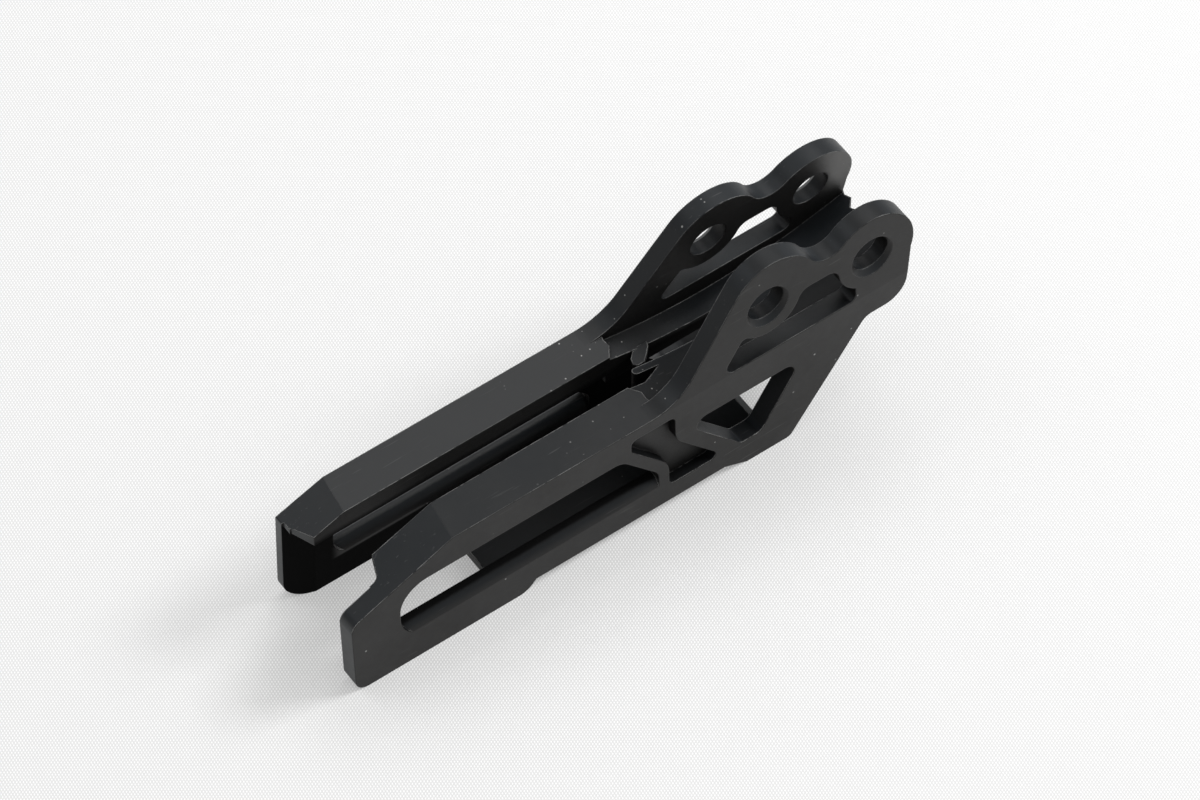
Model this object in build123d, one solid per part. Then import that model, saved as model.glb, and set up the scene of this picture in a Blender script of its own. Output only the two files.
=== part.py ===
from build123d import *
import os
from math import cos, radians, sin, sqrt, tan

# Motorcycle chain guide, moulded in one piece, in millimetres.
# X runs from the open front end to the bolt ears, Y across, Z up from the sole.
# It is drawn from the front end, and moved at the end so that the origin is
# the middle of its footprint.

# Side plates
RAIL_TOP = 40.4
HALF_WIDTH = 17.0
WALL = 5.4
FOOT_LEAN = 1.9
EAR_LEAN = 5.2

# Bolt bores and the ears round them
BORE_DIAMETER = 11.0
BORE_CHAMFER = 0.9
FRONT_BORE_X = 128.9
FRONT_BORE_Z = 58.3
BORE_SPACING = 32.5
REAR_BORE_DROP = 4.1
REAR_BORE_X = FRONT_BORE_X + BORE_SPACING
REAR_BORE_Z = FRONT_BORE_Z - REAR_BORE_DROP
FRONT_BOSS_RADIUS = 13.8
FRONT_BOSS_BACK = 1.9
FRONT_BOSS_UP = 0.5
REAR_BOSS_RADIUS = 13.1
SADDLE_ROUND = 6.7
EAR_SLOPE = 53.5
EAR_ROOT_ROUND = 16.0

# Sole, from the front foot to the heel, and the tail behind it
FOOT_END = 52.5
FOOT_END_ROUND = 6.0
NEAR_FOOT_CORNER = 4.0
FAR_FOOT_CORNER = 6.5
FAR_START = 1.0
BELLY_Z = 3.1
BELLY_START = FOOT_END + 2.8
HEEL_START = 121.5
HEEL_RAMP = 7.1
HEEL_LENGTH = 13.6
HEEL_CORNER = 2.5
REAR_SLOPE = 53.1
LEDGE_DROP = 8.5
LEDGE_CORNER = 4.0
TAIL_BACK = 9.8
TAIL_CORNER = 7.0
TAIL_SHOULDER_UP = 1.0
TAIL_SHOULDER_IN = 0.1
BELLY_END = HEEL_START - HEEL_RAMP
HEEL_END = HEEL_START + HEEL_LENGTH
LEDGE_Z = RAIL_TOP - LEDGE_DROP
TAIL_X = REAR_BORE_X + TAIL_BACK

# Inward flanges on top of the rails
FLANGE_GAP = 10.2
FLANGE_ROOT_BACK = 1.6
NEAR_FLANGE_THICKNESS = 9.5
NEAR_FLANGE_START = 14.8
NEAR_FLANGE_END = 94.6
NEAR_FLANGE_SLANT = 2.8
NEAR_NOTCH_ROUND = 2.4
FAR_FLANGE_THICKNESS = 7.0
FAR_FLANGE_START = 4.6
FAR_FLANGE_END = 96.4
FAR_FLANGE_SLANT = 2.6
FAR_NOTCH_ROUND = 0.4

# Bevels at the front of the rails
NEAR_BEVEL_BACK = 32.0
NEAR_BEVEL_ANGLE = 23.0
NEAR_NOSE_ROUND = 4.0
FAR_BEVEL_BACK = 14.4
FAR_BEVEL_ANGLE = 21.5
FAR_NOSE_ROUND = 0.5
BEVEL_SKEW = 8.0
BEVEL_PIVOT = 0.6
FAR_END_THICKNESS = 2.7
FAR_FLARE_LENGTH = 9.0
FAR_FLARE_OVERLAP = 1.0

# Slanted braces that the openings in the plates leave between them
BRACE_ANGLE = 50.0

# Long slot in both plates
SLOT_START = 14.5
SLOT_END = 93.8
SLOT_BOTTOM = 9.6
SLOT_UNDER_TOP = 10.1
SLOT_FRONT_ROUND = 8.6
SLOT_TOP_CORNER = 5.5
SLOT_BACK_CORNER = 5.0
SLOT_LOW_CORNER = 2.4
SLOT_BACK_HEIGHT = 7.4
SILL_HEIGHT = 4.6
SILL_SPARE = 0.2
SLOT_TOP = RAIL_TOP - SLOT_UNDER_TOP
SLOT_BRACE_FOOT = SLOT_BOTTOM + SLOT_BACK_HEIGHT

# Waisted blind pocket in the outer faces, on the brace behind the slot
POCKET_DEPTH = 3.1
POCKET_UNDER_TOP = 4.0
POCKET_BROW = 4.2
POCKET_WIDTH = 13.6
POCKET_AHEAD = 8.2
POCKET_BOTTOM = 9.5
POCKET_LOW_BEHIND = 3.2
POCKET_LOW_WIDTH = 16.6
POCKET_CORNER = 1.8
POCKET_WAIST_ROUND = 8.5
POCKET_TOP = RAIL_TOP - POCKET_UNDER_TOP
POCKET_START = SLOT_END - POCKET_AHEAD
POCKET_TOP_BACK = POCKET_START + POCKET_WIDTH
POCKET_LOW_START = SLOT_END + POCKET_LOW_BEHIND
POCKET_LOW_BACK = POCKET_LOW_START + POCKET_LOW_WIDTH

# Triangular window in both plates
WINDOW_UNDER_TOP = 10.7
WINDOW_HEIGHT = 20.4
WINDOW_BEHIND = 8.7
WINDOW_LOW_WIDTH = 6.1
WINDOW_BACK_ANGLE = 56.9
WINDOW_CORNER = 3.0
WINDOW_LOW_CORNER = 1.8
WINDOW_TOP = RAIL_TOP - WINDOW_UNDER_TOP
WINDOW_BOTTOM = WINDOW_TOP - WINDOW_HEIGHT
WINDOW_START = SLOT_END + WINDOW_BEHIND

# Lozenge window under the bores
LOZENGE_ABOVE_RAIL = 0.4
LOZENGE_RIM = 10.5
LOZENGE_BORE_RIM = 10.4
LOZENGE_PEAK_DROP = 1.9
LOZENGE_AHEAD = 5.4
LOZENGE_CORNER = 2.2
LOZENGE_SHOULDER_ROUND = 1.6
LOZENGE_SHOULDER_ANGLE = 45.0
LOZENGE_PEAK_ROUND = 3.6
LOZENGE_BOTTOM = RAIL_TOP + LOZENGE_ABOVE_RAIL
LOZENGE_TOP = FRONT_BORE_Z - LOZENGE_PEAK_DROP
LOZENGE_END = REAR_BORE_X - LOZENGE_AHEAD

# Web between the ears, sagging from the flanges and rising to the tail
WEB_STEP = 0.8
WEB_OVERLAP = 1.0
WEB_ROOT = 0.6
WEB_LOW_BACK = 11.1
WEB_SAG = 4.7
WEB_TAIL_BACK = 2.8
WEB_RISE = 2.8
WEB_THICKNESS = 4.0
WEB_BLOCK_UNDER = 1.5
WEB_BLOCK_TOP = 2.0
WEB_BLOCK_BACK = 10.0
WEB_SLOT_NEAR = 0.1
WEB_SLOT_LENGTH = 39.4
TONGUE_WIDTH = 2.1
TONGUE_BACK = 4.0
NOTCH_LENGTH = 10.4
NOTCH_SLANT = 6.5
WEB_FRONT = NEAR_FLANGE_END - WEB_OVERLAP
WEB_LOW_X = FRONT_BORE_X + WEB_LOW_BACK
WEB_TAIL_X = TAIL_X + WEB_TAIL_BACK
WEB_SLOT_END = NEAR_FLANGE_END + WEB_SLOT_LENGTH
TONGUE_FRONT = NEAR_FLANGE_END + TONGUE_BACK
NOTCH_END = NEAR_FLANGE_END + NOTCH_LENGTH

# Rough tab across the front of the web's slot
TAB_BACK = 8.0
TAB_LENGTH = 4.2
TAB_DROP = 2.2
TAB_BELOW = 0.4
TAB_ROOT = 0.6
TAB_START = NEAR_FLANGE_END + TAB_BACK

# Torn ends, as the distance past the end at each share of the width
FLANGE_TEAR = ((-1.5, 0.0), (-0.6, 0.22), (0.6, 0.48), (0.4, 0.82))
TAIL_TEAR = ((-0.2, -1.2), (-0.4, -0.9), (-1.7, -0.52), (-0.6, -0.26), (-2.0, 0.0), (-1.0, 0.31),
             (-2.4, 0.57), (-0.5, 0.74), (-1.2, 0.91), (0.0, 1.2))
TAB_TEAR = ((-2.4, 0.67), (-3.0, 0.31), (-2.0, 0.14), (0.0, 0.15), (1.8, 0.47), (3.6, 0.82))

# Floor between the plates
FLOOR_START = 45.2
FLOOR_INTO_HEEL = 8.9
FLOOR_THICKNESS = 2.8
FLOOR_LIP = 2.4
FLOOR_LIP_THICKNESS = 0.8
FLOOR_END = HEEL_START + FLOOR_INTO_HEEL

# How far cutting bodies reach past the faces that they cut
REACH = 8.0

EAR_TOP = FRONT_BORE_Z + FRONT_BOSS_UP + FRONT_BOSS_RADIUS
CHANNEL = HALF_WIDTH - WALL
FLANGE_ROOT = HALF_WIDTH - WALL / 3
FLANGE_EDGE = FLANGE_GAP / 2
NEAR = -1
FAR = 1


def outer_y(z):
    """Half width over the outer faces at a height."""
    if z < RAIL_TOP:
        return HALF_WIDTH + tan(radians(FOOT_LEAN)) * (RAIL_TOP - z)
    return HALF_WIDTH - tan(radians(EAR_LEAN)) * (z - RAIL_TOP)


def side_slab(outline):
    """A side view outline carried right through both plates."""
    return extrude(Plane.XZ * outline, amount=2 * HALF_WIDTH, both=True)


def upright(plan, height):
    """A plan view outline carried straight up from the sole."""
    return extrude(plan, amount=height, dir=(0, 0, 1))


def rounded(outline, x, z, radius):
    """Round the corner of a side view outline that lies nearest to a point."""
    corner = min(outline.vertices(), key=lambda v: (v.X - x) ** 2 + (v.Y - z) ** 2)
    return fillet(corner, radius)


def leaning_band(side, outside, inside):
    """The leaning slab between two depths under a plate's outer face."""
    heights = (-REACH, RAIL_TOP, EAR_TOP + REACH)
    outer = [(side * (outer_y(z) - outside), z) for z in heights]
    inner = [(side * (outer_y(z) - inside), z) for z in reversed(heights)]
    section = Polygon(*outer, *inner, align=None)
    band = extrude(Plane.YZ * section, amount=WEB_TAIL_X + 2 * REACH, dir=(1, 0, 0))
    return Pos(-REACH, 0, 0) * band


def ear_slope_x(z, inset=0.0):
    """Where the ear's front slope, or a line under it, passes a height."""
    boss_x = FRONT_BORE_X + FRONT_BOSS_BACK
    boss_z = FRONT_BORE_Z + FRONT_BOSS_UP
    distance = (FRONT_BOSS_RADIUS - inset) / sin(radians(EAR_SLOPE))
    return boss_x - distance + (z - boss_z) / tan(radians(EAR_SLOPE))


def saddle():
    """The hollow between the bosses: its centre, and where it touches each boss."""
    front = Vector(FRONT_BORE_X + FRONT_BOSS_BACK, FRONT_BORE_Z + FRONT_BOSS_UP)
    rear = Vector(REAR_BORE_X, REAR_BORE_Z)
    span = (rear - front).length
    along = (rear - front) / span
    upward = Vector(-along.Y, along.X)
    front_reach = FRONT_BOSS_RADIUS + SADDLE_ROUND
    rear_reach = REAR_BOSS_RADIUS + SADDLE_ROUND
    run = (front_reach ** 2 - rear_reach ** 2 + span ** 2) / (2 * span)
    centre = front + along * run + upward * sqrt(front_reach ** 2 - run ** 2)
    front_touch = front + (centre - front) * (FRONT_BOSS_RADIUS / front_reach)
    rear_touch = rear + (centre - rear) * (REAR_BOSS_RADIUS / rear_reach)
    return centre, front_touch, rear_touch


def plate_outline(start, foot_corner):
    """Side view of a plate: sole, heel, tail, ears and rail."""
    centre, front_touch, rear_touch = saddle()
    boss_x = FRONT_BORE_X + FRONT_BOSS_BACK
    boss_z = FRONT_BORE_Z + FRONT_BOSS_UP
    slope_top = boss_z + FRONT_BOSS_RADIUS * cos(radians(EAR_SLOPE))
    ledge_x = HEEL_END + LEDGE_Z / tan(radians(REAR_SLOPE))
    shoulder_x = REAR_BORE_X + REAR_BOSS_RADIUS - TAIL_SHOULDER_IN
    outline = Polygon(
        (start, 0), (FOOT_END, 0), (BELLY_START, BELLY_Z), (BELLY_END, BELLY_Z),
        (HEEL_START, 0), (HEEL_END, 0), (ledge_x, LEDGE_Z), (TAIL_X, LEDGE_Z),
        (shoulder_x, REAR_BORE_Z + TAIL_SHOULDER_UP), (rear_touch.X, rear_touch.Y),
        (front_touch.X, front_touch.Y), (boss_x, boss_z), (ear_slope_x(slope_top), slope_top),
        (ear_slope_x(RAIL_TOP), RAIL_TOP), (start, RAIL_TOP),
        align=None)
    outline = rounded(outline, start, 0, foot_corner)
    outline = rounded(outline, FOOT_END, 0, FOOT_END_ROUND)
    outline = rounded(outline, HEEL_END, 0, HEEL_CORNER)
    outline = rounded(outline, ledge_x, LEDGE_Z, LEDGE_CORNER)
    outline = rounded(outline, TAIL_X, LEDGE_Z, TAIL_CORNER)
    outline = rounded(outline, ear_slope_x(RAIL_TOP), RAIL_TOP, EAR_ROOT_ROUND)
    outline += Pos(boss_x, boss_z) * Circle(FRONT_BOSS_RADIUS)
    outline += Pos(REAR_BORE_X, REAR_BORE_Z) * Circle(REAR_BOSS_RADIUS)
    return outline - Pos(centre.X, centre.Y) * Circle(SADDLE_ROUND)


def bevel_cutter(side, back, angle):
    """The wedge that a front bevel takes off one rail."""
    rise = RAIL_TOP + REACH
    low = RAIL_TOP - (back + REACH) * tan(radians(angle))
    wedge = Polygon((-REACH, low), (back, RAIL_TOP), (back, rise), (-REACH, rise), align=None)
    cutter = extrude(Plane.XZ * wedge, amount=HALF_WIDTH, both=True)
    pivot = Pos(back, side * HALF_WIDTH * BEVEL_PIVOT, 0)
    return pivot * Rot(0, 0, -BEVEL_SKEW) * Pos(-back, 0, 0) * cutter


def round_nose(plate, radius):
    """Round the top edge of a plate's front end."""
    end = plate.faces().filter_by(Axis.X).group_by(Axis.X)[0].sort_by(Axis.Z)[-1]
    return fillet(end.edges().sort_by(Axis.Z)[-1], radius)


def flange(start, end, slant, thickness, notch_round):
    """Far rail's inward lip, with its front end cut at a slant and its rear end left torn."""
    width = CHANNEL - FLANGE_EDGE
    torn = [(end + past, FLANGE_EDGE + share * width) for past, share in reversed(FLANGE_TEAR)]
    plan = Polygon(
        (start, FLANGE_EDGE), (start - slant, CHANNEL), (start - slant - notch_round, CHANNEL),
        (start - slant - notch_round, FLANGE_ROOT), (end + FLANGE_ROOT_BACK, FLANGE_ROOT), *torn,
        align=None)
    plan = rounded(plan, start - slant, CHANNEL, notch_round)
    return Pos(0, 0, RAIL_TOP - thickness) * upright(plan, thickness)


def far_flare():
    """The lead-in that thins the far plate towards its front end."""
    inside = CHANNEL - FAR_FLARE_OVERLAP
    thin = HALF_WIDTH - FAR_END_THICKNESS
    plan = Polygon((-REACH, inside), (-REACH, thin), (FAR_START, thin), (FAR_FLARE_LENGTH, CHANNEL),
                   (FAR_FLARE_LENGTH, inside), align=None)
    cutter = Pos(0, 0, -REACH) * upright(plan, RAIL_TOP + 2 * REACH)
    pivot = Pos(0, HALF_WIDTH, RAIL_TOP)
    return pivot * Rot(FOOT_LEAN, 0, 0) * Pos(0, -HALF_WIDTH, -RAIL_TOP) * cutter


def slot_outline():
    """Side view of the long slot."""
    brace_run = (SLOT_TOP - SLOT_BRACE_FOOT) / tan(radians(BRACE_ANGLE))
    slot = Polygon(
        (SLOT_START, SLOT_BOTTOM), (SLOT_START, SLOT_TOP), (SLOT_END - brace_run, SLOT_TOP),
        (SLOT_END, SLOT_BRACE_FOOT), (SLOT_END, SLOT_BOTTOM), align=None)
    slot = rounded(slot, SLOT_START, SLOT_BOTTOM, SLOT_FRONT_ROUND)
    slot = rounded(slot, SLOT_START, SLOT_TOP, SLOT_FRONT_ROUND)
    slot = rounded(slot, SLOT_END - brace_run, SLOT_TOP, SLOT_TOP_CORNER)
    slot = rounded(slot, SLOT_END, SLOT_BOTTOM, SLOT_LOW_CORNER)
    return rounded(slot, SLOT_END, SLOT_BRACE_FOOT, SLOT_BACK_CORNER)


def sill(side):
    """The rounded bar that is left along the foot of the slot."""
    section = Ellipse(WALL / 2 + SILL_SPARE, SILL_HEIGHT)
    bar = extrude(Plane.YZ * section, amount=SLOT_END - SLOT_START + 2 * REACH, dir=(1, 0, 0))
    middle = Pos(SLOT_START - REACH, side * (outer_y(SLOT_BOTTOM) - WALL / 2), SLOT_BOTTOM)
    return middle * Rot(side * FOOT_LEAN, 0, 0) * bar


def pocket_outline():
    """Side view of the waisted pocket."""
    lean = tan(radians(BRACE_ANGLE))
    brow_z = POCKET_TOP - POCKET_BROW
    waist_z = brow_z - (POCKET_LOW_START - POCKET_START) * lean
    hip_z = POCKET_BOTTOM + (POCKET_LOW_BACK - POCKET_TOP_BACK) * lean
    pocket = Polygon(
        (POCKET_START, brow_z), (POCKET_START, POCKET_TOP), (POCKET_TOP_BACK, POCKET_TOP),
        (POCKET_TOP_BACK, hip_z), (POCKET_LOW_BACK, POCKET_BOTTOM),
        (POCKET_LOW_START, POCKET_BOTTOM), (POCKET_LOW_START, waist_z), align=None)
    for x, z in ((POCKET_START, brow_z), (POCKET_START, POCKET_TOP), (POCKET_TOP_BACK, POCKET_TOP),
                 (POCKET_LOW_BACK, POCKET_BOTTOM), (POCKET_LOW_START, POCKET_BOTTOM)):
        pocket = rounded(pocket, x, z, POCKET_CORNER)
    pocket = rounded(pocket, POCKET_TOP_BACK, hip_z, POCKET_WAIST_ROUND)
    return rounded(pocket, POCKET_LOW_START, waist_z, POCKET_WAIST_ROUND)


def window_outline():
    """Side view of the triangular window."""
    low_start = WINDOW_START + WINDOW_HEIGHT / tan(radians(BRACE_ANGLE))
    low_end = low_start + WINDOW_LOW_WIDTH
    high_end = low_end + WINDOW_HEIGHT / tan(radians(WINDOW_BACK_ANGLE))
    window = Polygon((WINDOW_START, WINDOW_TOP), (high_end, WINDOW_TOP),
                     (low_end, WINDOW_BOTTOM), (low_start, WINDOW_BOTTOM), align=None)
    window = rounded(window, WINDOW_START, WINDOW_TOP, WINDOW_CORNER)
    window = rounded(window, high_end, WINDOW_TOP, WINDOW_CORNER)
    window = rounded(window, low_end, WINDOW_BOTTOM, WINDOW_CORNER)
    return rounded(window, low_start, WINDOW_BOTTOM, WINDOW_LOW_CORNER)


def lozenge_outline():
    """Side view of the window under the bores, whose upper side runs round both of them."""
    front_low = ear_slope_x(LOZENGE_BOTTOM, LOZENGE_RIM)
    front_high = ear_slope_x(LOZENGE_TOP, LOZENGE_RIM)
    lozenge = Polygon((front_low, LOZENGE_BOTTOM), (front_high, LOZENGE_TOP),
                      (LOZENGE_END, LOZENGE_TOP), (LOZENGE_END, LOZENGE_BOTTOM), align=None)
    front_bore = Pos(FRONT_BORE_X, FRONT_BORE_Z) * Circle(LOZENGE_BORE_RIM)
    rear_bore = Pos(REAR_BORE_X, REAR_BORE_Z) * Circle(LOZENGE_BORE_RIM)
    lozenge = lozenge - front_bore - rear_bore
    lozenge = Sketch() + max(lozenge.faces(), key=lambda face: face.area)
    lozenge = rounded(lozenge, front_low, LOZENGE_BOTTOM, LOZENGE_CORNER)
    lozenge = rounded(lozenge, LOZENGE_END, LOZENGE_BOTTOM, LOZENGE_CORNER)
    shoulder_x = FRONT_BORE_X - LOZENGE_BORE_RIM * cos(radians(LOZENGE_SHOULDER_ANGLE))
    shoulder_z = FRONT_BORE_Z - LOZENGE_BORE_RIM * sin(radians(LOZENGE_SHOULDER_ANGLE))
    lozenge = rounded(lozenge, shoulder_x, shoulder_z, LOZENGE_SHOULDER_ROUND)
    peak_front = FRONT_BORE_X + LOZENGE_BORE_RIM
    lozenge = rounded(lozenge, peak_front, LOZENGE_TOP, LOZENGE_PEAK_ROUND)
    return rounded(lozenge, REAR_BORE_X - LOZENGE_BORE_RIM, LOZENGE_TOP, LOZENGE_PEAK_ROUND)


def bolt_bore(x, z):
    """A bore through both ears, chamfered at the outer faces."""
    radius = BORE_DIAMETER / 2
    face_y = outer_y(z)
    bore = Pos(x, 0, z) * Rot(90, 0, 0) * Cylinder(radius, 2 * (face_y + REACH))
    mouth = Rot(-90, 0, 0) * Cone(radius, radius + 2 * BORE_CHAMFER, 2 * BORE_CHAMFER)
    far_mouth = Pos(x, face_y, z) * mouth
    near_mouth = Pos(x, -face_y, z) * Rot(180, 0, 0) * mouth
    return bore + far_mouth + near_mouth


def web():
    """The web that ties the two ears, with a slot that goes on from the flange gap."""
    top = ThreePointArc((WEB_FRONT, RAIL_TOP - WEB_STEP), (WEB_LOW_X, RAIL_TOP - WEB_SAG),
                        (WEB_TAIL_X, RAIL_TOP + WEB_RISE))
    under = top.moved(Pos(0, -WEB_THICKNESS))
    side = make_face([top, under, Line(top @ 0, under @ 0), Line(top @ 1, under @ 1)])
    block_top = WEB_STEP + WEB_BLOCK_TOP
    block = Polygon((WEB_FRONT, LEDGE_Z - WEB_BLOCK_UNDER), (WEB_FRONT, RAIL_TOP - block_top),
                    (WEB_LOW_X, RAIL_TOP - WEB_SAG - WEB_BLOCK_TOP),
                    (WEB_LOW_X + WEB_BLOCK_BACK, LEDGE_Z - WEB_BLOCK_UNDER), align=None)
    body = extrude(Plane.XZ * (side + block), amount=CHANNEL + WEB_ROOT, both=True)
    ahead = WEB_FRONT - REACH
    tongue_near = WEB_SLOT_NEAR - TONGUE_WIDTH
    slot = Polygon((ahead, WEB_SLOT_NEAR), (ahead, FLANGE_EDGE), (WEB_SLOT_END, FLANGE_EDGE),
                   (WEB_SLOT_END, WEB_SLOT_NEAR), align=None)
    notch = Polygon((ahead, -FLANGE_EDGE), (ahead, tongue_near), (NOTCH_END, tongue_near),
                    (NOTCH_END - NOTCH_SLANT, -FLANGE_EDGE), align=None)
    nose = Polygon((ahead, tongue_near), (ahead, WEB_SLOT_NEAR), (TONGUE_FRONT, WEB_SLOT_NEAR),
                   (TONGUE_FRONT, tongue_near), align=None)
    nose -= Pos(TONGUE_FRONT, (WEB_SLOT_NEAR + tongue_near) / 2) * Circle(TONGUE_WIDTH / 2)
    return body - upright(slot + notch + nose, EAR_TOP)


def torn_tail():
    """The ragged bite along the rear end of the web."""
    edge = [(WEB_TAIL_X + past, share * CHANNEL) for past, share in TAIL_TEAR]
    behind = WEB_TAIL_X + REACH
    plan = Polygon(*edge, (behind, edge[-1][1]), (behind, edge[0][1]), align=None)
    return upright(plan, EAR_TOP)


def tab():
    """The rough tab that hangs across the front of the web's slot."""
    root = FLANGE_EDGE + TAB_ROOT
    edge = [(TAB_START + past, share * FLANGE_EDGE) for past, share in TAB_TEAR]
    plan = Polygon((TAB_START, root), *edge, (TAB_START + TAB_LENGTH, root), align=None)
    return Pos(0, 0, RAIL_TOP - WEB_STEP - WEB_THICKNESS - TAB_BELOW) * upright(plan, TAB_DROP)


def floor_plate():
    """The floor that joins the plates along the belly."""
    root = outer_y(BELLY_Z) - WALL / 2
    top = BELLY_Z + FLOOR_THICKNESS
    side = Polygon((FLOOR_START, BELLY_Z), (FLOOR_START, top), (FLOOR_END - FLOOR_LIP, top),
                   (FLOOR_END, BELLY_Z + FLOOR_LIP_THICKNESS), (FLOOR_END, BELLY_Z), align=None)
    return extrude(Plane.XZ * side, amount=root, both=True)


def chain_guide():
    """The whole moulding."""
    near = side_slab(plate_outline(0, NEAR_FOOT_CORNER)) & leaning_band(NEAR, 0, WALL)
    near += mirror(flange(NEAR_FLANGE_START, NEAR_FLANGE_END, NEAR_FLANGE_SLANT,
                          NEAR_FLANGE_THICKNESS, NEAR_NOTCH_ROUND), about=Plane.XZ)
    near -= bevel_cutter(NEAR, NEAR_BEVEL_BACK, NEAR_BEVEL_ANGLE)
    near = round_nose(near, NEAR_NOSE_ROUND)
    far = side_slab(plate_outline(FAR_START, FAR_FOOT_CORNER)) & leaning_band(FAR, 0, WALL)
    far -= far_flare()
    far += flange(FAR_FLANGE_START, FAR_FLANGE_END, FAR_FLANGE_SLANT,
                  FAR_FLANGE_THICKNESS, FAR_NOTCH_ROUND)
    far -= bevel_cutter(FAR, FAR_BEVEL_BACK, FAR_BEVEL_ANGLE)
    far = round_nose(far, FAR_NOSE_ROUND)
    guide = near + far + (web() - torn_tail()) + tab() + floor_plate()
    guide -= side_slab(slot_outline()) - sill(NEAR) - sill(FAR)
    guide -= side_slab(window_outline()) + side_slab(lozenge_outline())
    for side in (NEAR, FAR):
        guide -= side_slab(pocket_outline()) & leaning_band(side, -REACH, POCKET_DEPTH)
    guide -= bolt_bore(FRONT_BORE_X, FRONT_BORE_Z)
    return guide - bolt_bore(REAR_BORE_X, REAR_BORE_Z)


guide = chain_guide()
footprint = guide.bounding_box()
guide = guide.moved(Pos(-footprint.center().X, 0, 0))
guide.label = "chain_guide"
os.makedirs("parts", exist_ok=True)
export_step(guide, "parts/chain_guide.step")
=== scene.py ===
import math

import bpy
from mathutils import Matrix, Vector

bl_info = {
    "name": "Chain guide",
    "version": (1, 0, 0),
    "blender": (4, 5, 0),
    "location": "View3D > Sidebar > Chain guide",
    "description": "Dresses the moulded chain guide and sets up its studio",
    "category": "Object",
}

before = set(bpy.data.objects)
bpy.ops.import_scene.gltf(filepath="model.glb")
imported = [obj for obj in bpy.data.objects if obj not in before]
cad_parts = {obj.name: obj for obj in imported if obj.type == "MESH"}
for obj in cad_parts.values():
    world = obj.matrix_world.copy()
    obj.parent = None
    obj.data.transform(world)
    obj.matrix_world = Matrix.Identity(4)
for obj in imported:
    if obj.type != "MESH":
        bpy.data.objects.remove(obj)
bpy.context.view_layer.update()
MILLIMETRE = 0.001

# Where a soft border begins and ends on the guide, in metres of the shared frame
# FRONT_END bounds the painted light on the front end faces, the bar and channel borders bound the painted
# shade, and FLANGE_BACK bounds the painted light on the far plate's top
FRONT_END = (-0.084, -0.082)
BAR_FRONT = (-0.0735, -0.0700)
BAR_BACK = (0.0055, 0.0065)
BAR_FOOT = (0.0098, 0.0106)
BAR_TOP = (0.0150, 0.0160)
CHANNEL_TOP = (0.033, 0.036)
TORN_FRONT = (-0.024, -0.004)
TORN_BACK = (0.016, 0.030)
TORN_FOOT = (0.026, 0.032)
FLANGE_BACK = (0.02, 0.04)
EAR_FOOT = (0.030, 0.045)
# The next two bound the painted light on the rear upper part of the far ear's inner face
CORNER_FRONT = (0.074, 0.083)
CORNER_FOOT = (0.045, 0.055)
MIDDLE = (-0.001, 0.001)
FAR_OF_MIDDLE = (0.0, 0.001)
NEAR_OF_MIDDLE = (-0.001, 0.0)

# How far a face is turned one way, as a part of the normal, where a soft border begins and ends
FORWARD = (0.7, 0.95)
INWARD = (0.3, 0.8)
OUTWARD = (0.15, 0.95)
CORNER_INWARD = (0.5, 0.9)
EDGE_UP = (0.05, 0.5)
TORN_UP = (0.1, 0.5)
UPWARD = (0.2, 0.85)
LEVEL = (0.9, 0.97)

# Patterns on the plastic: repeats a metre, detail, roughness, and the band of the noise that shows
BROAD_SCALE, BROAD_DETAIL, BROAD_BAND = 34.0, 3.0, (0.32, 0.7)
PATCHY_SCALE, PATCHY_DETAIL, PATCHY_ROUGH = 420.0, 5.0, 0.6
FINE_SCALE, FINE_DETAIL, FINE_ROUGH = 2600.0, 3.0, 0.6
CHAFE_SCALE, CHAFE_DETAIL, CHAFE_BAND, CHAFE_LEAST = 70.0, 2.0, (0.40, 0.58), 0.35
STREAK_STRETCH, STREAK_TURN = (26.0, 420.0, 420.0), (0.0, 0.3, 0.1)
STREAK_SCALE, STREAK_DETAIL, STREAK_BAND = 3.0, 2.0, (0.66, 0.74)
EDGE_TURN = (0.01, 0.12)
WEAR_BAND = (0.34, 0.52)
WEAR_LOST_ON_EARS = 0.6

# Specks: cells a metre, the border of a speck in its cell, and the noise that scatters them
DUST = (240.0, (0.05, 0.09), 150.0, 1.0, (0.56, 0.64))
CRUMBS = (620.0, (0.10, 0.17), 330.0, 2.0, (0.56, 0.62))

# How much of the pale edge colour each mark takes on; on the far ear's inner face it is taken on as painted
# light
WEAR_AMOUNT, STREAK_AMOUNT, DUST_AMOUNT, CRUMB_AMOUNT, CORNER_PAINTED_LIGHT_AMOUNT = 0.95, 0.08, 0.7, 0.8, 0.22

# How the colour, the roughness and the relief follow the patterns
NOISE_MIDDLE = 0.5
# The near plate's top is darkened as painted shade and the far plate's top is paled as painted light
TONE_LEAST, TONE_OF_BROAD, TONE_OF_PATCHY, SHADE_PAINTED_ON_NEAR_TOP = 0.86, 0.22, 0.16, 0.5
FAR_TOP_PAINTED_LIGHT_AMOUNT = 0.9
ROUGH_OF_BROAD, ROUGH_OF_PATCHY, ROUGH_OF_WEAR = 0.10, 0.14, 0.10
RELIEF_OF_PATCHY, RELIEF_OF_FINE, RELIEF_OF_STREAK = 0.5, 0.5, 0.15
RELIEF_STRENGTH, RELIEF_DEPTH = 0.22, 0.12 * MILLIMETRE

# How dark the painted shade gets in the corners that little light reaches
SHELTER_REACH = 17.0 * MILLIMETRE
SHELTER_BAND = (0.16, 0.66)
SHELTER_AMOUNT = 0.85
SHELTER_ROUGHNESS, SHELTER_SHEEN = 0.8, 0.04
NODE_SAMPLES = 6

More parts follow.
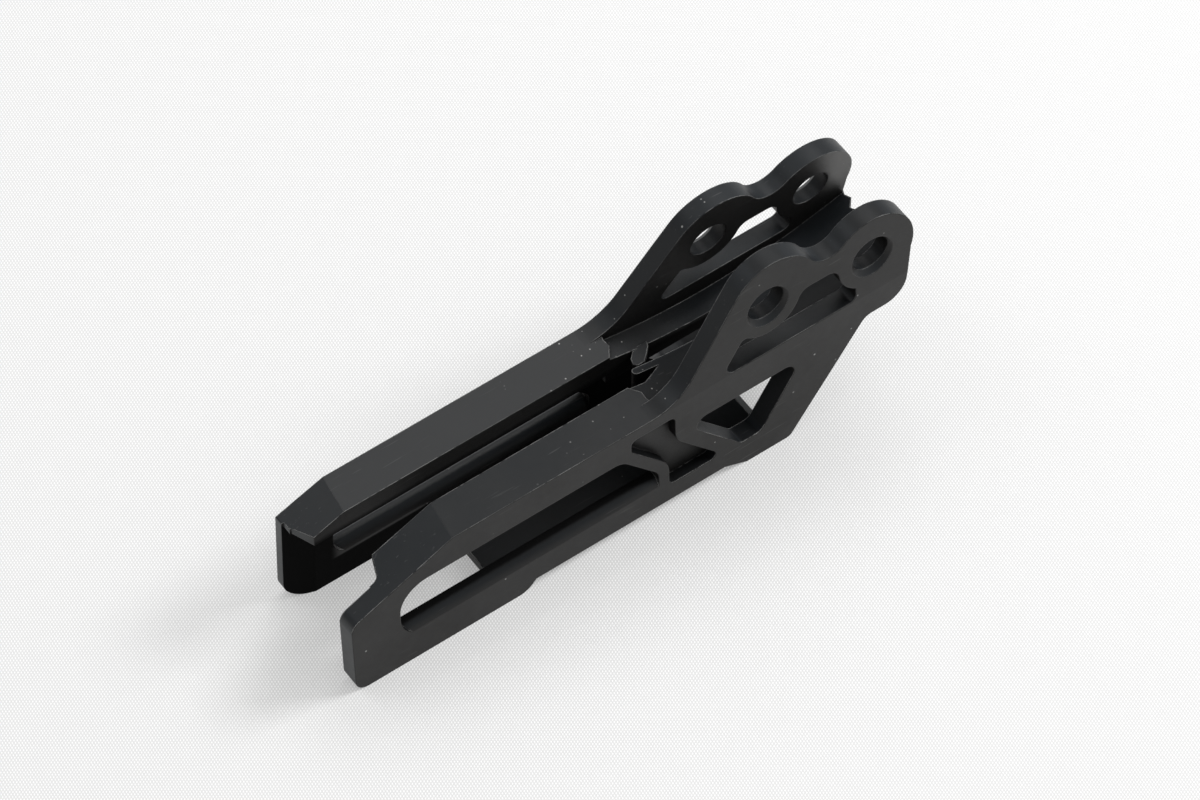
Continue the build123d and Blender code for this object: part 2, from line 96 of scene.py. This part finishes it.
# The ground: the turns of its two sets of threads, their wander, its tone and its relief.
# A wave texture of scale 1 has 20 radians a metre.
WEAVE_TURNS = (0.10, 1.14)
WEAVE_WANDER = {"Distortion": 0.5, "Detail": 1.0, "Detail Scale": 0.4}
WAVE_TEXTURE_RATE = 20.0
UNEVEN_SCALE, UNEVEN_DETAIL = 180.0, 2.0
GROUND_TONE, TONE_OF_WEAVE, TONE_OF_UNEVEN = 0.91, 0.36, 0.03
WEAVE_STRENGTH, WEAVE_DEPTH = 0.35, 0.2 * MILLIMETRE
GROUND_ROUGHNESS, GROUND_SHEEN = 0.9, 0.05
GROUND_REACH = 4.0

# The name, place, aim and width of each lamp, and the property that holds its power
LAMPS = (
    ("overhead", (0.74, 0.62, 1.40), (0.0, 0.0, 0.03), 1.1, "main_light"),
    ("beyond_front", (-0.65, 0.80, 1.40), (-0.05, 0.0, 0.03), 0.8, "front_light"),
    ("near_right", (1.10, -0.38, 1.10), (0.0, 0.0, 0.03), 0.5, "near_light"),
    ("beyond_ears", (1.10, -0.25, 0.75), (0.05, 0.0, 0.05), 0.6, "side_light"),
)

# The camera, as the photograph's edges, bores and feet give it: degrees, metres and millimetres of sensor
AZIMUTH, ELEVATION, ROLL = 35.4589, 54.4613, -0.1838
CAMERA_DISTANCE = 1.76336
CAMERA_ASIDE, CAMERA_ABOVE = -0.071661, -0.061204
CAMERA_ORIGIN = (-0.08725, 0.0, 0.0)
CAMERA_CLIP = (0.05, 20.0)
SENSOR_WIDTH = 36.0


# Shader nodes


class Socket:
    """An output socket that takes part in Python arithmetic."""

    def __init__(self, shop, socket):
        self.shop = shop
        self.socket = socket

    def math(self, operation, *values, clamp=False):
        return self.shop.node(
            "ShaderNodeMath", {"operation": operation, "use_clamp": clamp}, list(values)
        )

    def __add__(self, other):
        return self.math("ADD", self, other)

    def __radd__(self, other):
        return self.math("ADD", other, self)

    def __sub__(self, other):
        return self.math("SUBTRACT", self, other)

    def __rsub__(self, other):
        return self.math("SUBTRACT", other, self)

    def __mul__(self, other):
        return self.math("MULTIPLY", self, other)

    def __rmul__(self, other):
        return self.math("MULTIPLY", other, self)

    def clamped(self):
        return self.math("ADD", self, 0.0, clamp=True)

    def band(self, low, high):
        """0 below low, 1 above high, and smooth between them."""
        return self.shop.node(
            "ShaderNodeMapRange",
            {"interpolation_type": "SMOOTHSTEP"},
            {"Value": self, "From Min": low, "From Max": high},
        )


class Shop:
    """The nodes of one material or world."""

    def __init__(self, owner):
        owner.use_nodes = True
        self.tree = owner.node_tree
        self.tree.nodes.clear()

    def node(self, kind, settings=None, inputs=None, output=0):
        """One node of a kind: its settings come first, then the values or links of its sockets.

        The output is a number, or a tuple of numbers for a tuple of sockets.
        """
        made = self.tree.nodes.new(kind)
        for name, value in (settings or {}).items():
            setattr(made, name, value)
        pairs = enumerate(inputs) if isinstance(inputs, list) else (inputs or {}).items()
        for key, value in pairs:
            if isinstance(value, Socket):
                self.tree.links.new(value.socket, made.inputs[key])
            else:
                made.inputs[key].default_value = value
        if not made.outputs:
            return None
        if isinstance(output, tuple):
            return tuple(Socket(self, made.outputs[number]) for number in output)
        return Socket(self, made.outputs[output])

    def blend(self, factor, first, second):
        """Colour that goes from the first to the second as the factor goes from 0 to 1."""
        return self.node(
            "ShaderNodeMix",
            {"data_type": "RGBA", "blend_type": "MIX"},
            {0: factor, 6: first, 7: second},
            output=2,
        )

    def scaled(self, colour, factor):
        """A colour times a factor."""
        return self.node("ShaderNodeVectorMath", {"operation": "SCALE"}, {0: colour, "Scale": factor})


def object_place(shop, scale=(1.0, 1.0, 1.0), turn=(0.0, 0.0, 0.0)):
    """Object coordinates, stretched and turned."""
    place = shop.node("ShaderNodeTexCoord", output=3)
    return shop.node("ShaderNodeMapping", None, {"Vector": place, "Scale": scale, "Rotation": turn})


def split(shop, vector):
    """The three components of a vector."""
    return shop.node("ShaderNodeSeparateXYZ", None, {"Vector": vector}, output=(0, 1, 2))


def noise(shop, place, scale, detail, rough=0.55):
    """Noise from about 0 to 1 with so many lumps a metre."""
    return shop.node(
        "ShaderNodeTexNoise", None,
        {"Vector": place, "Scale": scale, "Detail": detail, "Roughness": rough},
    )


def specks(shop, place, cells, border, scatter, scatter_detail, scatter_band):
    """Round specks, at most one in each cell, and only where the scatter noise lets them be."""
    cell = shop.node(
        "ShaderNodeTexVoronoi", {"feature": "F1"}, {"Vector": place, "Scale": cells, "Randomness": 1.0}
    )
    return (1.0 - cell.band(*border)) * noise(shop, place, scatter, scatter_detail).band(*scatter_band)


def between(value, start, end):
    """1 from the start border to the end border, and 0 outside them."""
    return value.band(*start) * (1.0 - value.band(*end))


# Sizes, colours and light that a user would change


class ChainGuideFinish(bpy.types.PropertyGroup):
    """The look of the moulded plastic, with its painted light and shade"""

    plastic: bpy.props.FloatVectorProperty(
        name="Plastic", description="Base colour of the moulded plastic", subtype="COLOR", size=3,
        default=(0.0100, 0.0096, 0.0092), min=0.0, max=1.0,
    )
    # Painted sky tint: faces that look up take a cooler colour for the sky's light on them
    plastic_painted_sky_tint: bpy.props.FloatVectorProperty(
        name="Upper faces", description="Cooler colour of the faces that look up", subtype="COLOR", size=3,
        default=(0.0085, 0.0110, 0.0135), min=0.0, max=1.0,
    )
    # Painted shade: the colour of walls and hollows where little light falls
    painted_shade: bpy.props.FloatVectorProperty(
        name="Sheltered walls", description="Colour of the walls that see no light", subtype="COLOR", size=3,
        default=(0.004, 0.004, 0.004), min=0.0, max=1.0,
    )
    # Painted light: the front end faces take a paler colour for the light that falls on them from the front
    end_face_painted_light: bpy.props.FloatVectorProperty(
        name="End faces", description="Colour of the cut faces at the front", subtype="COLOR", size=3,
        default=(0.034, 0.037, 0.039), min=0.0, max=1.0,
    )
    # Painted light: the far plate's top takes a paler colour for the light it reflects
    far_top_painted_light: bpy.props.FloatVectorProperty(
        name="Far top", description="Colour of the paler top of the far plate", subtype="COLOR", size=3,
        default=(0.024, 0.025, 0.026), min=0.0, max=1.0,
    )
    # Colour of worn edges, scuffs, dust and crumbs; on the far ear's inner face it is also painted light
    rubbed_and_painted_light: bpy.props.FloatVectorProperty(
        name="Rubbed edges", description="Colour where edges have been rubbed", subtype="COLOR", size=3,
        default=(0.42, 0.42, 0.41), min=0.0, max=1.0,
    )
    roughness: bpy.props.FloatProperty(
        name="Roughness", description="Roughness of the moulded surface",
        default=0.46, min=0.0, max=1.0, subtype="FACTOR",
    )
    sheen: bpy.props.FloatProperty(
        name="Sheen", description="Strength of the reflections on open faces",
        default=0.30, min=0.0, max=1.0, subtype="FACTOR",
    )
    edge_round: bpy.props.FloatProperty(
        name="Edge rounding", description="Radius that edges catch the light with",
        default=0.55 * MILLIMETRE, min=0.0, unit="LENGTH", subtype="DISTANCE",
    )


class ChainGuideStudio(bpy.types.PropertyGroup):
    """The ground, the light and the lens"""

    ground: bpy.props.FloatVectorProperty(
        name="Ground", description="Colour of the woven ground", subtype="COLOR", size=3,
        default=(0.56, 0.56, 0.558), min=0.0, max=1.0,
    )
    glow: bpy.props.FloatVectorProperty(
        name="Ground glow", description="Added to the ground as it is seen, so that it stays near white",
        default=(0.315, 0.315, 0.314), subtype="COLOR", size=3, min=0.0, max=1.0,
    )
    weave_pitch: bpy.props.FloatProperty(
        name="Weave pitch", description="Distance between two threads of the ground",
        default=0.72 * MILLIMETRE, min=0.0001, unit="LENGTH", subtype="DISTANCE",
    )
    lens: bpy.props.FloatProperty(
        name="Lens", description="Focal length of the camera in millimetres",
        default=210.0, min=10.0, max=400.0,
    )
    sky: bpy.props.FloatProperty(
        name="Sky", description="Strength of the even light from all round",
        default=0.50, min=0.0, max=4.0,
    )
    main_light: bpy.props.FloatProperty(
        name="Main light", description="Power of the large overhead light",
        default=7.0, min=0.0, max=400.0, unit="POWER",
    )
    front_light: bpy.props.FloatProperty(
        name="Front light", description="Power of the light beyond the front end",
        default=2.8, min=0.0, max=200.0, unit="POWER",
    )
    near_light: bpy.props.FloatProperty(
        name="Near light", description="Power of the light on the camera's right",
        default=11.5, min=0.0, max=200.0, unit="POWER",
    )
    side_light: bpy.props.FloatProperty(
        name="Side light", description="Power of the light from beyond the ears",
        default=2.5, min=0.0, max=200.0, unit="POWER",
    )


# The moulding's surface


def painted_shade(shop, normal):
    """Painted shade: how little light a spot gets, in deep corners, on the channel's walls and on the near
    slot's bar.
    """
    along, across, height = split(shop, shop.node("ShaderNodeTexCoord", output=3))
    _, facing, _ = split(shop, normal)
    outward = facing * across.math("SIGN", across)
    far = across.band(*MIDDLE)
    bar = between(along, BAR_FRONT, BAR_BACK) * between(height, BAR_FOOT, BAR_TOP)
    # Painted shade on the channel's inner walls and on the near slot's bar
    walls = (0.0 - outward).band(*INWARD) * (1.0 - height.band(*CHANNEL_TOP)) * (1.0 - far * bar)
    crest = (1.0 - outward.band(*OUTWARD)) * bar * (1.0 - far)
    reached = shop.node(
        "ShaderNodeAmbientOcclusion", {"samples": NODE_SAMPLES, "only_local": True},
        {"Distance": SHELTER_REACH}, output=1,
    )
    deep = (1.0 - reached).band(*SHELTER_BAND) * SHELTER_AMOUNT
    return (walls + crest + deep).clamped()


def moulded_plastic(finish):
    """Black moulded plastic with mottling, grain, worn edges, scuffs, dust and crumbs, and painted light and
    shade.
    """
    material = bpy.data.materials.new("moulded_plastic")
    shop = Shop(material)
    place = object_place(shop)
    normal = shop.node("ShaderNodeNewGeometry", output=1)
    ahead, facing, up = split(shop, normal)
    along, across, height = split(shop, shop.node("ShaderNodeTexCoord", output=3))

    # Patterns
    broad = noise(shop, place, BROAD_SCALE, BROAD_DETAIL).band(*BROAD_BAND)
    patchy = noise(shop, place, PATCHY_SCALE, PATCHY_DETAIL, PATCHY_ROUGH)
    fine = noise(shop, place, FINE_SCALE, FINE_DETAIL, FINE_ROUGH)
    chafe = noise(shop, place, CHAFE_SCALE, CHAFE_DETAIL).band(*CHAFE_BAND)
    chafe = CHAFE_LEAST + (1.0 - CHAFE_LEAST) * chafe

    # Worn edges, scuffs and specks, and painted light on the far ear's inner face
    soft = shop.node("ShaderNodeBevel", {"samples": NODE_SAMPLES}, {"Radius": finish.edge_round})
    turn = shop.node("ShaderNodeVectorMath", {"operation": "DOT_PRODUCT"}, [soft, normal], output=1)
    edge = (1.0 - turn).band(*EDGE_TURN)
    wear = edge * up.band(*EDGE_UP) * patchy.band(*WEAR_BAND) * chafe
    wear = wear * (1.0 - WEAR_LOST_ON_EARS * height.band(*EAR_FOOT))
    streak_place = object_place(shop, STREAK_STRETCH, STREAK_TURN)
    streak = noise(shop, streak_place, STREAK_SCALE, STREAK_DETAIL).band(*STREAK_BAND) * broad
    dust = specks(shop, place, *DUST)
    torn = between(along, TORN_FRONT, TORN_BACK) * height.band(*TORN_FOOT) * up.band(*TORN_UP)
    crumbs = specks(shop, place, *CRUMBS) * torn
    # Painted light: the rear upper part of the far ear's inner face is paled where light falls on it
    painted_corner_light = along.band(*CORNER_FRONT) * across.band(*FAR_OF_MIDDLE)
    painted_corner_light = painted_corner_light * (0.0 - facing).band(*CORNER_INWARD) * height.band(*CORNER_FOOT)
    marks_and_painted_light = (
        wear * WEAR_AMOUNT + streak * STREAK_AMOUNT + dust * DUST_AMOUNT + crumbs * CRUMB_AMOUNT
        + painted_corner_light * CORNER_PAINTED_LIGHT_AMOUNT
    ).clamped()

    # Colour, with painted light and shade: a painted sky tint on faces that look up, painted light on the
    # front end faces and on the far plate's top, and painted shade on the near plate's top
    front_end_painted_light = (0.0 - ahead).band(*FORWARD) * (1.0 - along.band(*FRONT_END))
    far_top_painted_light = up.band(*LEVEL) * across.band(*FAR_OF_MIDDLE) * (1.0 - along.band(*FLANGE_BACK))
    near_top_painted_shade = up.band(*LEVEL) * (1.0 - across.band(*NEAR_OF_MIDDLE))
    body = shop.blend(up.band(*UPWARD), (*finish.plastic, 1.0), (*finish.plastic_painted_sky_tint, 1.0))
    body = shop.blend(front_end_painted_light, body, (*finish.end_face_painted_light, 1.0))
    body = shop.blend(far_top_painted_light * FAR_TOP_PAINTED_LIGHT_AMOUNT, body, (*finish.far_top_painted_light, 1.0))
    tone = TONE_LEAST + TONE_OF_BROAD * broad + TONE_OF_PATCHY * (patchy - NOISE_MIDDLE)
    body = shop.scaled(body, tone - SHADE_PAINTED_ON_NEAR_TOP * near_top_painted_shade)
    colour = shop.blend(marks_and_painted_light, body, (*finish.rubbed_and_painted_light, 1.0))

    # Roughness and relief
    roughness = finish.roughness + ROUGH_OF_BROAD * (broad - NOISE_MIDDLE)
    roughness = roughness + ROUGH_OF_PATCHY * (patchy - NOISE_MIDDLE) + ROUGH_OF_WEAR * wear
    grain = patchy * RELIEF_OF_PATCHY + fine * RELIEF_OF_FINE + streak * RELIEF_OF_STREAK
    bump = shop.node(
        "ShaderNodeBump", None,
        {"Strength": RELIEF_STRENGTH, "Distance": RELIEF_DEPTH, "Height": grain, "Normal": soft},
    )
    open_face = shop.node(
        "ShaderNodeBsdfPrincipled", None,
        {"Base Color": colour, "Roughness": roughness.clamped(), "Normal": bump,
         "Specular IOR Level": finish.sheen},
    )
    # Painted shade: a darker, duller plastic is mixed in where little light reaches
    painted_shade_face = shop.node(
        "ShaderNodeBsdfPrincipled", None,
        {"Base Color": (*finish.painted_shade, 1.0), "Roughness": SHELTER_ROUGHNESS, "Normal": bump,
         "Specular IOR Level": SHELTER_SHEEN},
    )
    surface = shop.node(
        "ShaderNodeMixShader", None, [painted_shade(shop, normal), open_face, painted_shade_face]
    )
    shop.node("ShaderNodeOutputMaterial", None, {"Surface": surface})
    return material


class CHAINGUIDE_OT_moulding(bpy.types.Operator):
    """Finish the one moulded piece: plates, flanges, web and ears"""

    bl_idname = "chainguide.moulding"
    bl_label = "Moulding"

    def execute(self, context):
        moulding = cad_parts["chain_guide"]
        material = moulded_plastic(context.scene.chain_guide_finish)
        moulding.data.materials.clear()
        moulding.data.materials.append(material)
        return {"FINISHED"}


# The studio


def woven_ground(studio):
    """Pale cloth with a fine diagonal weave.

    It is kept near white to the eye, with no more light on the guide.
    """
    material = bpy.data.materials.new("woven_ground")
    shop = Shop(material)
    weave_scale = 2.0 * math.pi / (WAVE_TEXTURE_RATE * studio.weave_pitch)
    first, second = (
        shop.node(
            "ShaderNodeTexWave", {"wave_type": "BANDS", "bands_direction": "X"},
            {"Vector": object_place(shop, turn=(0.0, 0.0, turn)), "Scale": weave_scale, **WEAVE_WANDER},
            output=1,
        )
        for turn in WEAVE_TURNS
    )
    weave = first * second
    uneven = noise(shop, object_place(shop), UNEVEN_SCALE, UNEVEN_DETAIL)
    tone = GROUND_TONE + TONE_OF_WEAVE * weave + TONE_OF_UNEVEN * (uneven - NOISE_MIDDLE)
    camera_ray, glossy_ray, through_ray = shop.node("ShaderNodeLightPath", output=(0, 3, 6))
    seen = (camera_ray + glossy_ray + through_ray).clamped()
    bump = shop.node(
        "ShaderNodeBump", None,
        {"Strength": WEAVE_STRENGTH, "Distance": WEAVE_DEPTH, "Height": weave},
    )
    shader = shop.node(
        "ShaderNodeBsdfPrincipled", None,
        {"Base Color": shop.scaled(tuple(studio.ground), tone), "Roughness": GROUND_ROUGHNESS,
         "Normal": bump, "Specular IOR Level": GROUND_SHEEN,
         "Emission Color": shop.scaled(tuple(studio.glow), tone * seen), "Emission Strength": 1.0},
    )
    shop.node("ShaderNodeOutputMaterial", None, {"Surface": shader})
    return material


def area_light(name, place, aim, width, power):
    """A square lamp at a place, turned towards its aim."""
    light = bpy.data.lights.new(name, "AREA")
    light.shape = "RECTANGLE"
    light.size = light.size_y = width
    light.energy = power
    lamp = bpy.data.objects.new(name, light)
    lamp.location = place
    lamp.rotation_euler = (Vector(aim) - Vector(place)).to_track_quat("-Z", "Y").to_euler()
    bpy.context.scene.collection.objects.link(lamp)


class CHAINGUIDE_OT_studio(bpy.types.Operator):
    """Lay the ground and set up the lights and the camera"""

    bl_idname = "chainguide.studio"
    bl_label = "Studio"

    def execute(self, context):
        studio = context.scene.chain_guide_studio
        mesh = bpy.data.meshes.new("ground")
        corners = [
            (x * GROUND_REACH, y * GROUND_REACH, 0.0) for x, y in ((-1, -1), (1, -1), (1, 1), (-1, 1))
        ]
        mesh.from_pydata(corners, [], [(0, 1, 2, 3)])
        mesh.materials.append(woven_ground(studio))
        ground = bpy.data.objects.new("ground", mesh)
        context.scene.collection.objects.link(ground)

        world = bpy.data.worlds.new("studio_sky")
        context.scene.world = world
        shop = Shop(world)
        sky = shop.node(
            "ShaderNodeBackground", None, {"Color": (1.0, 1.0, 1.0, 1.0), "Strength": studio.sky}
        )
        shop.node("ShaderNodeOutputWorld", None, {"Surface": sky})

        for name, place, aim, width, power in LAMPS:
            area_light(name, place, aim, width, getattr(studio, power))

        set_camera(context, studio)
        return {"FINISHED"}


def set_camera(context, studio):
    """The camera at the photograph's place."""
    azimuth, elevation, roll = (math.radians(angle) for angle in (AZIMUTH, ELEVATION, ROLL))
    view = Vector((
        math.cos(elevation) * math.sin(azimuth),
        math.cos(elevation) * math.cos(azimuth),
        -math.sin(elevation),
    ))
    level = Vector((math.cos(azimuth), -math.sin(azimuth), 0.0))
    upward = level.cross(view)
    right = math.cos(roll) * level + math.sin(roll) * upward
    upright = -math.sin(roll) * level + math.cos(roll) * upward
    place = Vector(CAMERA_ORIGIN) - CAMERA_DISTANCE * view
    place = place - CAMERA_ASIDE * right - CAMERA_ABOVE * upright
    camera = bpy.data.cameras.new("camera")
    camera.lens = studio.lens
    camera.sensor_width = SENSOR_WIDTH
    camera.clip_start, camera.clip_end = CAMERA_CLIP
    seat = bpy.data.objects.new("camera", camera)
    turned = Matrix((right, upright, -view)).transposed().to_4x4()
    seat.matrix_world = Matrix.Translation(place) @ turned
    context.scene.collection.objects.link(seat)
    context.scene.camera = seat


class CHAINGUIDE_PT_panel(bpy.types.Panel):
    """The chain guide's colours, light and operators"""

    bl_label = "Chain guide"
    bl_idname = "CHAINGUIDE_PT_panel"
    bl_space_type = "VIEW_3D"
    bl_region_type = "UI"
    bl_category = "Chain guide"

    def draw(self, context):
        for group in (context.scene.chain_guide_finish, context.scene.chain_guide_studio):
            box = self.layout.box()
            for name in group.__annotations__:
                box.prop(group, name)
        for operator in OPERATORS:
            self.layout.operator(operator.bl_idname)


OPERATORS = (CHAINGUIDE_OT_moulding, CHAINGUIDE_OT_studio)
CLASSES = (ChainGuideFinish, ChainGuideStudio, *OPERATORS, CHAINGUIDE_PT_panel)


def register():
    for cls in CLASSES:
        bpy.utils.register_class(cls)
    bpy.types.Scene.chain_guide_finish = bpy.props.PointerProperty(type=ChainGuideFinish)
    bpy.types.Scene.chain_guide_studio = bpy.props.PointerProperty(type=ChainGuideStudio)


def unregister():
    del bpy.types.Scene.chain_guide_studio
    del bpy.types.Scene.chain_guide_finish
    for cls in reversed(CLASSES):
        bpy.utils.unregister_class(cls)


def main():
    """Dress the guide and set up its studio."""
    register()
    bpy.context.scene.view_settings.view_transform = "Standard"
    bpy.ops.chainguide.moulding()
    bpy.ops.chainguide.studio()
    bpy.context.view_layer.update()


if __name__ == "__main__":
    main()
